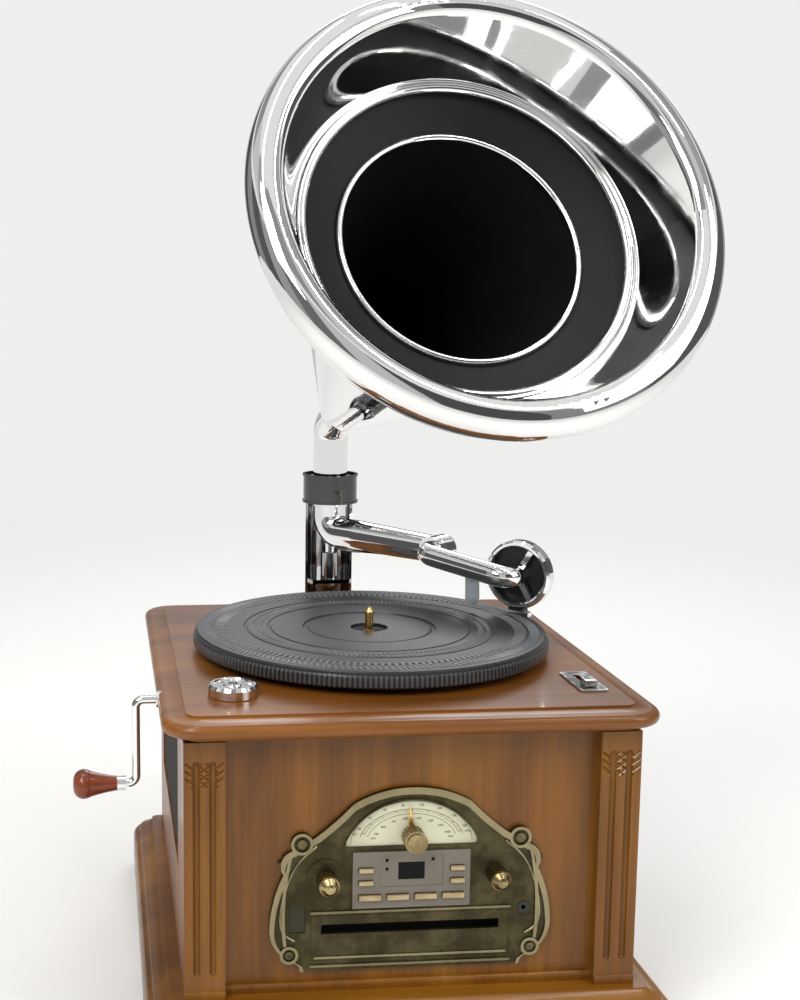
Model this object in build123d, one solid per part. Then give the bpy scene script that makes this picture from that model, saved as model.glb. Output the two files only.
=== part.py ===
from build123d import *
from math import asin, atan2, cos, hypot, pi, radians, sin, tan
import os

# A nostalgic gramophone: a wooden cabinet with a radio and disc player in front, a belt-driven
# turntable on top, a jointed tonearm, a chromed horn on a rear bracket and a side crank.
# Millimetres. The origin is the centre of the base, on the floor under the feet.
# +X is the listener's right, +Y is the back and +Z is up.

# Cabinet
foot_h = 8.0
foot_r = 12.0
foot_inset = 34.0
plinth_w = 396.0
plinth_d = 426.0
plinth_t = 40.0
body_w = 340.0
body_d = 372.0
body_h = 197.0
deck_w = 371.0
deck_d = 402.0
deck_t = 19.0
board_t = 12.0
post_side = 30.5
post_proud = 11.0
corner_r = 5.0
deck_corner_r = 9.0
flute_r = 2.6
flute_spread = 12.0
flute_margin = 16.0
rail_h = 7.0
grille_l = 250.0
grille_h = 112.0
grille_t = 2.4
panel_gap = 0.2
skin_gap = 0.08
slide_gap = 0.3
run_clear = 0.06

# Front escutcheon and controls
plate_t = 3.0
rim_t = 1.6
rim_w = 2.4
plate_foot = 15.8
arch_top = 156.6
scroll_x = 82.2
scroll_z = 115.2
scroll_r = 8.3
foot_scroll_x = 91.5
foot_scroll_z = 29.0
foot_scroll_r = 7.0
screw_r = 2.2
dial_half = 51.0
dial_low = 110.0
dial_high = 148.0
tuning_z = 119.5
tuning_r = 8.4
tuning_l = 15.0
knob_x = 64.0
knob_z = 88.0
knob_r = 7.5
knob_l = 15.0
knob_shaft_r = 3.0
scale_r = 15.0
panel_w = 89.0
panel_low = 63.6
panel_high = 107.6
panel_t = 1.4
lcd_w = 48.0
lcd_h = 24.0
lcd_z = 92.1
button_travel = 1.0
button_proud = 2.4
small_button_w = 10.6
small_button_h = 3.8
small_button_x = 34.5
small_button_high = 93.7
small_button_low = 83.9
wide_button_w = 16.4
wide_button_h = 4.6
wide_button_pitch = 20.95
wide_button_z = 72.4
bezel_half = 75.0
bezel_low = 23.9
bezel_high = 58.7
slot_half = 67.4
slot_h = 7.3
slot_z = 48.0
jack_x = 86.0
jack_z = 60.0
jack_r = 1.85
jack_l = 14.0
sensor_x = -85.3
sensor_z = 56.8
sensor_w = 12.0
sensor_h = 22.0
mech_l = 150.0
mech_back = 10.0

# Turntable
platter_r = 150.0
platter_x = 0.0
platter_y = 2.0
platter_top = 16.0
platter_web = 4.0
platter_skirt = 11.0
platter_wall = 4.0
mat_r = 148.0
mat_t = 3.0
label_r = 53.0
recess_r = 16.0
spindle_r = 3.6
spindle_up = 17.0
shaft_r = 4.2
hub_ring_r = 95.0
hub_ring_t = 3.0
belt_t = 0.8
belt_h = 5.0
pulley_r = 6.0
pulley_angle = 140.0
bearing_r = 9.0
bearing_l = 52.0
adapter_r = 19.0
adapter_h = 9.5
adapter_side = 56.5
adapter_back = 54.5
adapter_bore = 3.65
speed_side = 39.0
speed_back = 35.0
speed_w = 22.0
speed_l = 54.0
speed_t = 1.6
speed_step = 12.0

# Bracket, collar and tonearm
pivot_y = 217.0
collar_z = 359.0
collar_h = 28.0
collar_r = 26.5
collar_wall = 2.0
bracket_t = 2.5
bracket_r = 24.0
bracket_low = 160.0
tube_r = 17.0
tube_wall = 1.6
arm_r = 16.0
arm_tip_r = 12.8
arm_z = 328.0
elbow_bend = 18.0
arm_knuckle = 136.0
arm_azimuth = 38.7
knuckle_r = 14.0
knuckle_face = 6.0
goose_r = 9.8
goose_offset = 24.0
goose_bend = 13.0
wheel_reach = 89.6
wheel_drop = 10.0
wheel_r = 30.5
wheel_rim = 5.5
wheel_depth = 11.0
wheel_turn = 42.0
guard_place = 0.6
guard_up = 8.0
guard_h = 27.0
guard_t = 1.6
spoke_w = 5.0
hub_r = 8.5
rest_x = 151.5
rest_y = 74.0

# Horn
neck_top = 434.0
neck_bend = 20.0
horn_turn_x = 51.0
horn_turn_y = -163.0
horn_turn_z = 626.5
horn_wall = 1.2
ring_r = 131.0
ring_s = 386.0
cone_start = 30.0
flare_slope = 22.0
flare_run = 56.5
crest_r = 10.6
roll_r = 16.0
roll_end = 48.0
bead_r = 3.4
inner_ring_r = 98.0
inner_ring_back = 20.0
inner_bead_r = 2.6
throat_end = 70.0
throat_r = 24.0

# Crank
crank_y = -104.0
crank_up = 9.5
crank_rod_r = 3.3
crank_out = 16.5
crank_drop = 66.5
crank_bend = 6.0
ferrule_l = 7.0
ferrule_r = 5.6
grip_l = 34.0
grip_r = 11.0
grip_pin_r = 2.0

# Heights and planes that follow from the sizes above
plinth_top = foot_h + plinth_t
body_top = plinth_top + body_h
deck_top = body_top + deck_t
mat_top = deck_top + platter_top + mat_t
front_y = -body_d / 2
board_y = front_y + post_proud
plate_y = board_y - plate_t
back_y = body_d / 2
adapter_x = -(deck_w / 2 - adapter_side)
adapter_y = front_y + adapter_back
speed_x = deck_w / 2 - speed_side
speed_y = front_y + post_side + speed_back
platter_low = deck_top + platter_top - platter_skirt + 1.0

stand = (Align.CENTER, Align.CENTER, Align.MIN)
nodes = {}


def add(name, *shapes):
    """Keep one node; several shapes stay separate solids of that node."""
    solids = []
    for shape in shapes:
        solids.extend(shape.solids())
    nodes[name] = solids[0] if len(solids) == 1 else Compound(children=solids)


def box(x0, x1, y0, y1, z0, z1):
    """A box between two corners."""
    middle = ((x0 + x1) / 2, (y0 + y1) / 2, (z0 + z1) / 2)
    return Pos(*middle) * Box(x1 - x0, y1 - y0, z1 - z0)


def disc(radius, low, high, x=0.0, y=0.0):
    """An upright cylinder between two heights."""
    return Pos(x, y, (low + high) / 2) * Cylinder(radius, high - low)


def rod_y(radius, y0, y1, x, z):
    """A cylinder along Y."""
    return Pos(x, (y0 + y1) / 2, z) * Rot(90, 0, 0) * Cylinder(radius, y1 - y0)


def rod_x(radius, x0, x1, y, z):
    """A cylinder along X."""
    return Pos((x0 + x1) / 2, y, z) * Rot(0, 90, 0) * Cylinder(radius, x1 - x0)


def slab(width, depth, radius, low, high):
    """A board with rounded corners in plan."""
    return Pos(0, 0, low) * extrude(RectangleRounded(width, depth, radius), high - low)


def front_sheet(outline, y_back, thickness):
    """Extrude a face drawn in X and Z towards the listener from the plane y_back."""
    plane = Plane(origin=(0, y_back, plinth_top), x_dir=(1, 0, 0), z_dir=(0, -1, 0))
    return extrude(plane * outline, thickness)


def moulded_board(width, depth, radius, low, outline, reach):
    """A board whose edge has a swept moulding: outline is drawn from the inner line outwards."""
    core_w = width - 2 * reach
    core_d = depth - 2 * reach
    path = Pos(0, 0, low) * RectangleRounded(core_w, core_d, radius).wire()
    section = Plane(origin=(core_w / 2, 0, low), x_dir=(1, 0, 0), z_dir=(0, -1, 0)) * outline
    edge = sweep(section, path=path)
    return edge


def turned(profile_points, start, direction):
    """A solid of revolution about an axis: points are (radius, distance along the axis)."""
    axis_plane = Plane(origin=start, z_dir=direction)
    side = Plane(origin=start, x_dir=axis_plane.x_dir, z_dir=axis_plane.x_dir.cross(axis_plane.z_dir))
    outline = Polyline(*profile_points, close=True)
    face = side * make_face(outline)
    return revolve(face, Axis(start, direction))


def bent_tube(points, bend, outer, inner):
    """A round tube along straight runs joined by tangent arcs."""
    path = FilletPolyline(*points, radius=bend)
    start = Plane(origin=path @ 0, z_dir=path % 0)
    skin = sweep(start * Circle(outer), path=path)
    if inner <= 0:
        return skin
    return skin - sweep(start * Circle(inner), path=path)


def ribbed_knob(radius, length, ribs):
    """A fluted barrel about +Z, standing on the XY plane."""
    barrel = Cylinder(radius, length, align=stand)
    groove = Cylinder(radius * 0.13, length * 0.86, align=stand)
    for place in PolarLocations(radius, ribs):
        barrel -= place * groove
    return barrel


def build_cabinet():
    """Plinth, feet, boards, posts, grilles and the moulded deck."""
    reach = 19.0
    lip = 1.4
    with BuildSketch() as plinth_edge:
        with BuildLine():
            Polyline((0, 0), (reach - 1.5, 0), (reach, 2.0), (reach, 22.0))
            ThreePointArc((reach, 22.0), (reach - 1.6, 27.5), (reach - 6.0, 30.5))
            Line((reach - 6.0, 30.5), (reach - 6.8, 32.5))
            ThreePointArc((reach - 6.8, 32.5), (reach - 12.0, 34.2), (0.8, plinth_t - lip))
            Polyline((0.8, plinth_t - lip), (0.8, plinth_t), (0, plinth_t), (0, 0))
        make_face()
    core = slab(plinth_w - 2 * reach, plinth_d - 2 * reach, corner_r, foot_h, plinth_top)
    edge = moulded_board(plinth_w, plinth_d, corner_r, foot_h, plinth_edge.sketch, reach)
    plinth = core + edge
    foot_x = plinth_w / 2 - foot_inset
    foot_y = plinth_d / 2 - foot_inset
    places = [Pos(sx * foot_x, sy * foot_y, 0) for sx in (-1, 1) for sy in (-1, 1)]
    foot = Cylinder(foot_r, foot_h, align=stand)
    foot = chamfer(foot.edges().group_by(Axis.Z)[0], 1.2)
    add("base_plinth", plinth)
    add("rubber_feet", *[place * foot for place in places])

    with BuildSketch() as deck_edge:
        with BuildLine():
            ThreePointArc((0, 0), (5.6, 1.6), (9.0, 5.0))
            Line((9.0, 5.0), (13.0, 5.0))
            ThreePointArc((13.0, 5.0), (reach, 10.5), (13.5, 16.2))
            ThreePointArc((13.5, 16.2), (7.0, 16.4), (0.8, deck_t - lip))
            Polyline((0.8, deck_t - lip), (0.8, deck_t), (0, deck_t), (0, 0))
        make_face()
    core = slab(deck_w - 2 * reach, deck_d - 2 * reach, deck_corner_r, body_top, deck_top)
    edge = moulded_board(deck_w, deck_d, deck_corner_r, body_top, deck_edge.sketch, reach)
    deck = core + edge
    deck -= disc(bearing_r + panel_gap, body_top - 1, deck_top + 1, platter_x, platter_y)
    pulley_x, pulley_y = pulley_place()
    deck -= disc(pulley_r + 3.0, body_top - 1, deck_top + 1, pulley_x, pulley_y)
    deck -= box(speed_x - 4, speed_x + 4, speed_y - 22, speed_y + 22, body_top - 1, deck_top + 1)
    deck -= disc(3.0 + panel_gap, body_top - 1, deck_top + 1, adapter_x, adapter_y)
    deck -= disc(3.0 + panel_gap, body_top - 1, deck_top + 1, rest_x, rest_y)
    add("top_plate", deck)

    half = body_w / 2
    post = box(-post_side / 2, post_side / 2, 0, post_side, plinth_top, body_top)
    low = plinth_top + flute_margin + 3
    high = body_top - flute_margin + 2
    flute = Pos(0, 0, (low + high) / 2) * Cylinder(flute_r, high - low - 2 * flute_r)
    for end in (low + flute_r, high - flute_r):
        flute += Pos(0, 0, end) * Sphere(flute_r)
    for side in (-1, 1):
        post -= Pos(side * flute_spread / 2, 0.4, 0) * flute
    leaf = Rot(0, 0, 45) * Box(1.6, 1.6, 11.0)
    for row in range(3):
        for side in (-1, 1):
            for column in (-1, 0, 1):
                slant = Pos(column * flute_spread * 0.62 + side * 2.4, 0, high - 5 - 5.5 * row)
                post -= slant * Rot(0, side * 52, 0) * leaf
    toe = box(-post_side / 2, post_side / 2, -1.6, 0, plinth_top, plinth_top + rail_h)
    toe = fillet(toe.edges().filter_by(Axis.X).group_by(Axis.Y)[0].sort_by(Axis.Z)[-1], 1.4)
    post += toe
    posts = []
    for side in (-1, 1):
        posts.append(Pos(side * (half - post_side / 2), front_y, 0) * post)
    add("corner_posts", *posts)

    inner = half - post_side
    board = box(-inner, inner, board_y, board_y + board_t, plinth_top, body_top)
    board -= box(-bezel_half + 4, bezel_half - 4, board_y - 1, board_y + board_t + 1,
                 plinth_top + bezel_low + 4, plinth_top + bezel_high - 2)
    board -= box(-panel_w / 2 + 3, panel_w / 2 - 3, board_y - 1, board_y + board_t + 1,
                 plinth_top + panel_low + 2, plinth_top + panel_high - 2)
    for x, z, radius in ((-knob_x, knob_z, 5.0), (knob_x, knob_z, 5.0), (0, tuning_z, 5.0),
                         (jack_x, jack_z, 5.0)):
        board -= rod_y(radius, board_y - 1, board_y + board_t + 1, x, plinth_top + z)
    rail = box(-inner, inner, board_y - 4.0, board_y, plinth_top, plinth_top + rail_h)
    rail = fillet(rail.edges().filter_by(Axis.X).group_by(Axis.Y)[0].sort_by(Axis.Z)[-1], 3.0)
    add("front_board", board + rail)

    side_front = front_y + post_side
    grille_y = (side_front + back_y) / 2
    grille_z = body_top - 12 - grille_h / 2
    panels = []
    cloths = []
    speakers = []
    for side in (-1, 1):
        outer = side * half
        inward = side * (half - board_t)
        x0, x1 = min(outer, inward), max(outer, inward)
        panel = box(x0, x1, side_front, back_y - board_t, plinth_top, body_top)
        panel -= box(x0 - 1, x1 + 1, grille_y - grille_l / 2, grille_y + grille_l / 2,
                     grille_z - grille_h / 2, grille_z + grille_h / 2)
        ledge_x = sorted((side * (half - 1.6 - grille_t), inward))
        ledge = box(*ledge_x, grille_y - grille_l / 2 - 0.01, grille_y + grille_l / 2 + 0.01,
                    grille_z - grille_h / 2 - 0.01, grille_z + grille_h / 2 + 0.01)
        ledge -= box(ledge_x[0] - 1, ledge_x[1] + 1, grille_y - grille_l / 2 + 6,
                     grille_y + grille_l / 2 - 6, grille_z - grille_h / 2 + 6,
                     grille_z + grille_h / 2 - 6)
        panels.append(panel + ledge)
        face_x = sorted((side * (half - 1.6), side * (half - 1.6 - grille_t)))
        cloths.append(box(*face_x, grille_y - grille_l / 2 + panel_gap,
                          grille_y + grille_l / 2 - panel_gap, grille_z - grille_h / 2 + panel_gap,
                          grille_z + grille_h / 2 - panel_gap))
        speakers.append(turned([(0, 0), (50, 0), (50, 3), (33, 22), (26, 24), (26, 38), (0, 38)],
                               (inward, grille_y - 62, grille_z), (-side, 0, 0)))
        speakers[-1] += box(*sorted((inward, inward - side * 2.5)), grille_y - 120, grille_y - 5,
                            grille_z - grille_h / 2 - 4, grille_z + grille_h / 2 + 4)
    add("side_panels", *panels)
    add("speaker_grilles", *cloths)
    add("loudspeakers", *speakers)

    rear = box(-half, half, back_y - board_t, back_y, plinth_top, body_top)
    for row in range(5):
        for column in (-1, 1):
            z = plinth_top + 40 + 9 * row
            rear -= box(column * 105 - 28, column * 105 + 28, back_y - board_t - 1, back_y + 1,
                        z - 2, z + 2)
    rear -= box(-24, 24, back_y - board_t - 1, back_y + 1, plinth_top + 12, plinth_top + 34)
    add("back_panel", rear)


def pulley_place():
    """The motor pulley's centre: the belt's straight runs clear the platter's inner ring."""
    reach = platter_r - platter_wall - pulley_r - 8.0
    turn = radians(pulley_angle)
    return platter_x + reach * cos(turn), platter_y + reach * sin(turn)


def escutcheon_outline():
    """The cast front plate: arch, shoulders, bowed sides and a straight foot."""
    with BuildSketch() as sketch:
        with BuildLine():
            ThreePointArc((0, arch_top), (23, arch_top - 2.9), (44, arch_top - 11.6))
            ThreePointArc((44, arch_top - 11.6), (58.5, arch_top - 25.5), (72, arch_top - 36.3))
            Line((72, arch_top - 36.3), (90, 110))
            ThreePointArc((90, 110), (97.2, 103), (96, 92))
            ThreePointArc((96, 92), (103.6, 71), (106.3, 51.6))
            ThreePointArc((106.3, 51.6), (104, 38), (96, 28))
            Polyline((96, 28), (84.4, 20.6), (83, plate_foot), (0, plate_foot), (0, arch_top))
        make_face()
        mirror(about=Plane.YZ)
    return sketch.sketch


def dial_outline(inset):
    """The dial's segment: a flat foot under one large arc."""
    half = dial_half - inset
    low = dial_low + inset
    high = dial_high - inset
    shoulder = 4.0
    with BuildSketch() as sketch:
        with BuildLine():
            Line((-half, low), (half, low))
            Line((half, low), (half, low + shoulder))
            ThreePointArc((half, low + shoulder), (0, high), (-half, low + shoulder))
            Line((-half, low + shoulder), (-half, low))
        make_face()
    return sketch.sketch


def build_front():
    """Escutcheon, dial, knobs, control plate, buttons, disc slot and sockets."""
    outline = escutcheon_outline()
    plate = front_sheet(outline, board_y, plate_t)
    middle = (arch_top + plate_foot) / 2
    inner = Pos(0, middle) * scale(Pos(0, -middle) * outline, by=1 - rim_w / (arch_top - middle))
    border = outline - inner
    plate += front_sheet(border, plate_y, rim_t)
    scrolls = ((scroll_x, scroll_z, scroll_r), (foot_scroll_x, foot_scroll_z, foot_scroll_r))
    for x, z, radius in scrolls:
        for side in (-1, 1):
            eye = Pos(side * x, z) * Circle(radius)
            well = Pos(side * x, z) * Circle(radius - 2.2)
            plate += front_sheet(eye, board_y, plate_t + rim_t)
            plate -= front_sheet(well, plate_y, rim_t + 1)
            plate -= rod_y(screw_r, board_y - 9, board_y + 1, side * x, plinth_top + z)
    for side in (-1, 1):
        for tip_x, tip_z in ((94.5, 104.5), (97.5, 100.0)):
            plate += front_sheet(Pos(side * tip_x, tip_z) * Circle(2.4), board_y, plate_t + 0.8)
        with BuildSketch() as bar:
            with BuildLine():
                ThreePointArc((88.5, 109.5), (94.8, 60), (93.5, 36.0))
                Line((93.5, 36.0), (96.0, 36.0))
                ThreePointArc((96.0, 36.0), (97.4, 60), (90.7, 109.5))
                Line((90.7, 109.5), (88.5, 109.5))
            make_face()
        strip = bar.sketch if side > 0 else mirror(bar.sketch, about=Plane.YZ)
        plate += front_sheet(strip, plate_y, rim_t)
    plate -= front_sheet(dial_outline(0), board_y + 1, plate_t + rim_t + 4)
    plate -= box(-panel_w / 2, panel_w / 2, plate_y - 4, board_y + 1,
                 plinth_top + panel_low, plinth_top + panel_high)
    plate -= box(-bezel_half, bezel_half, plate_y - 4, board_y + 1,
                 plinth_top + bezel_low, plinth_top + bezel_high)
    plate -= rod_y(knob_shaft_r + 0.4, plate_y - 4, board_y + 1, -knob_x, plinth_top + knob_z)
    plate -= rod_y(knob_shaft_r + 0.4, plate_y - 4, board_y + 1, knob_x, plinth_top + knob_z)
    plate -= rod_y(4.5, plate_y - 4, board_y + 1, jack_x, plinth_top + jack_z)
    plate -= box(sensor_x - sensor_w / 2, sensor_x + sensor_w / 2, plate_y - 1, board_y + 1,
                 plinth_top + sensor_z - sensor_h / 2, plinth_top + sensor_z + sensor_h / 2)
    for z in (bezel_high + 2.6, bezel_low - 4.4):
        plate += box(-bezel_half - 1, bezel_half + 1, plate_y - 1.2, plate_y,
                     plinth_top + z - 0.9, plinth_top + z + 0.9)
    plate += front_sheet(dial_outline(0) - dial_outline(1.6), plate_y + 1.0, 1.9)
    collet = rod_y(scale_r, plate_y - 0.8, plate_y, -knob_x, plinth_top + knob_z)
    collet -= rod_y(knob_shaft_r + 0.4, plate_y - 2, plate_y + 1, -knob_x, plinth_top + knob_z)
    add("escutcheon", plate + collet)

    screws = []
    for x, z, radius in scrolls:
        for side in (-1, 1):
            head = rod_y(radius * 0.42, plate_y - 1.6, plate_y, side * x, plinth_top + z)
            slot = Pos(side * x, plate_y - 1.6, plinth_top + z) * Rot(0, 35, 0) * Box(8, 1.2, 0.9)
            shank = rod_y(screw_r - 0.05, plate_y, board_y, side * x, plinth_top + z)
            screws.append(head + shank - slot)
    add("plate_screws", *screws)

    dial = front_sheet(dial_outline(panel_gap), board_y, plate_t - 1.0)
    dial -= rod_y(knob_shaft_r + 0.4, plate_y - 2, board_y + 1, 0, plinth_top + tuning_z)
    add("dial_scale", dial)

    knob_seat = plate_y + 1.0 - slide_gap
    needle_t = 0.8
    needle_len = dial_high - tuning_z - 3.0
    with BuildSketch() as hand:
        Circle(5.2)
        with BuildLine():
            Polyline((-2.6, 0), (0, needle_len), (2.6, 0), (-2.6, 0))
        make_face()
    arrow = Pos(0, tuning_z) * Rot(0, 0, 5) * hand.sketch
    arrow -= Pos(0, tuning_z) * Circle(knob_shaft_r)
    add("tuning_needle", front_sheet(arrow, knob_seat - 1.2, needle_t))
    barrel_y = knob_seat - 1.2 - needle_t
    tuning_axis = Plane(origin=(0, barrel_y, plinth_top + tuning_z), z_dir=(0, -1, 0))
    tuning = tuning_axis * ribbed_knob(tuning_r, tuning_l, 18)
    cap = tuning_axis * (Pos(0, 0, tuning_l) * Cylinder(tuning_r * 0.8, 1.4, align=stand))
    shaft = rod_y(knob_shaft_r, barrel_y, board_y + board_t - 1, 0, plinth_top + tuning_z)
    add("tuning_knob", tuning + cap + shaft)

    for name, side in (("function", -1), ("volume", 1)):
        barrel_y = plate_y - 0.8 - slide_gap
        axis = Plane(origin=(side * knob_x, barrel_y, plinth_top + knob_z), z_dir=(0, -1, 0))
        shaft = rod_y(knob_shaft_r, barrel_y, board_y + board_t - 1, side * knob_x,
                      plinth_top + knob_z)
        crown = [(0, 0), (knob_r * 0.92, 0), (knob_r * 0.92, 1.2), (knob_r * 0.5, 4.8),
                 (knob_r * 0.22, 5.6), (0, 5.6)]
        tip = (side * knob_x, barrel_y - knob_l, plinth_top + knob_z)
        add(name + "_knob", axis * ribbed_knob(knob_r, knob_l, 16) + shaft
            + turned(crown, tip, (0, -1, 0)))

    face_y = plate_y - panel_t
    panel = box(-panel_w / 2 + panel_gap, panel_w / 2 - panel_gap, face_y, board_y,
                plinth_top + panel_low + panel_gap, plinth_top + panel_high - panel_gap)
    window = box(-10, 10, face_y - 1, board_y + 1, plinth_top + lcd_z - 6.8, plinth_top + lcd_z + 6.8)
    frame_cut = box(-lcd_w / 2, lcd_w / 2, face_y - 1, face_y + 0.6,
                    plinth_top + lcd_z - lcd_h / 2, plinth_top + lcd_z + lcd_h / 2)
    panel = panel - window - frame_cut
    lamps = ((-18.5, 100.6), (-18.5, 93.8), (16.3, 100.6))
    for x, z in lamps:
        panel -= rod_y(1.3, face_y - 1, board_y + 1, x, plinth_top + z)
    button_list = button_table()
    for name, x, z, width, height in button_list:
        panel -= box(x - width / 2 - slide_gap, x + width / 2 + slide_gap, face_y - 1, board_y + 1,
                     plinth_top + z - height / 2 - slide_gap, plinth_top + z + height / 2 + slide_gap)
    add("control_plate", panel)
    glass = box(-10 + panel_gap, 10 - panel_gap, face_y + 1.0, board_y,
                plinth_top + lcd_z - 6.8 + panel_gap, plinth_top + lcd_z + 6.8 - panel_gap)
    lamp_pins = [rod_y(1.2, face_y + 0.3, board_y, x, plinth_top + z) for x, z in lamps]
    sensor = box(sensor_x - sensor_w / 2 + panel_gap, sensor_x + sensor_w / 2 - panel_gap,
                 plate_y + 0.8, board_y, plinth_top + sensor_z - sensor_h / 2 + panel_gap,
                 plinth_top + sensor_z + sensor_h / 2 - panel_gap)
    add("display_windows", glass, sensor, *lamp_pins)
    for name, x, z, width, height in button_list:
        key = box(x - width / 2, x + width / 2, face_y - button_proud, board_y + 3.0,
                  plinth_top + z - height / 2, plinth_top + z + height / 2)
        key = fillet(key.edges().filter_by(Axis.X).group_by(Axis.Y)[0], 0.8)
        add(name, key)
    board_low = plinth_top + panel_low + 3
    board_high = plinth_top + panel_high - 3
    switch_y = board_y + 3.0 + button_travel + 0.3
    switch_board = box(-panel_w / 2 + 3, panel_w / 2 - 3, switch_y, board_y + board_t,
                       board_low, board_high)
    tuning_room = rod_y(5.0, switch_y - 1, board_y + board_t + 1, 0, plinth_top + tuning_z)

    bezel = box(-bezel_half + panel_gap, bezel_half - panel_gap, plate_y, board_y,
                plinth_top + bezel_low + panel_gap, plinth_top + bezel_high - panel_gap)
    wing = box(-bezel_half + 2, bezel_half - 2, plate_y - 1.0, plate_y, plinth_top + bezel_low + 1.2,
               plinth_top + bezel_low + 3.0)
    bezel += wing
    slot_low = plinth_top + slot_z - slot_h / 2
    slot_high = plinth_top + slot_z + slot_h / 2
    bezel -= box(-slot_half, slot_half, plate_y - 3, board_y + 1, slot_low, slot_high)
    add("disc_bezel", bezel)
    lip = 0.6
    mech_y = board_y + board_t
    loader = box(-slot_half - 4, slot_half + 4, mech_y, mech_y + mech_l, slot_low - 12, slot_high + 8)
    loader -= box(-slot_half + lip, slot_half - lip, mech_y - 1, mech_y + mech_l - mech_back,
                  slot_low + lip, slot_high - lip)
    add("disc_mechanism", loader)

    socket = rod_y(4.3, plate_y - 0.6, board_y + jack_l, jack_x, plinth_top + jack_z)
    socket -= rod_y(jack_r, plate_y - 2, plate_y - 0.6 + jack_l, jack_x, plinth_top + jack_z)
    add("headphone_socket", socket)

    main_board = box(-120, -20, 20, 120, plinth_top, plinth_top + 14)
    rear = board_y + board_t
    capacitor = box(-14, 14, rear, rear + 22, plinth_top + tuning_z - 12, plinth_top + tuning_z + 16)
    transformer = box(40, 100, 60, 120, plinth_top, plinth_top + 50)
    add("electronics", switch_board - tuning_room, main_board, capacitor, transformer)


def button_table():
    """Every button: name, centre and size."""
    table = []
    for word, side in (("left", -1), ("right", 1)):
        for level, z in (("upper", small_button_high), ("lower", small_button_low)):
            table.append(("button_" + level + "_" + word, side * small_button_x, z,
                          small_button_w, small_button_h))
    for index in range(4):
        x = (index - 1.5) * wide_button_pitch
        table.append(("button_wide_" + str(index + 1), x, wide_button_z, wide_button_w,
                      wide_button_h))
    return table


def build_inside():
    """The motor and its pulley under the deck, and the sockets at the back."""
    pulley_x, pulley_y = pulley_place()
    motor = disc(18.0, body_top - 26, body_top - 3, pulley_x, pulley_y)
    motor += disc(26.0, body_top - 3, body_top, pulley_x, pulley_y)
    motor -= disc(1.5, body_top - 27, body_top + 1, pulley_x, pulley_y)
    add("motor", motor)
    pulley_low = deck_top + 3.0
    pulley = disc(pulley_r, pulley_low, pulley_low + 7.0, pulley_x, pulley_y)
    pulley += disc(1.5 - run_clear, body_top - 24, pulley_low, pulley_x, pulley_y)
    add("motor_pulley", pulley)
    inlet = box(-24 + panel_gap, 24 - panel_gap, back_y - board_t - 10, back_y + 1,
                plinth_top + 12 + panel_gap, plinth_top + 34 - panel_gap)
    inlet -= rod_y(3.0, back_y - 9, back_y + 2, -14, plinth_top + 23)
    inlet -= rod_y(2.75, back_y - 9, back_y + 2, 12, plinth_top + 23)
    add("rear_sockets", inlet)


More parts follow.
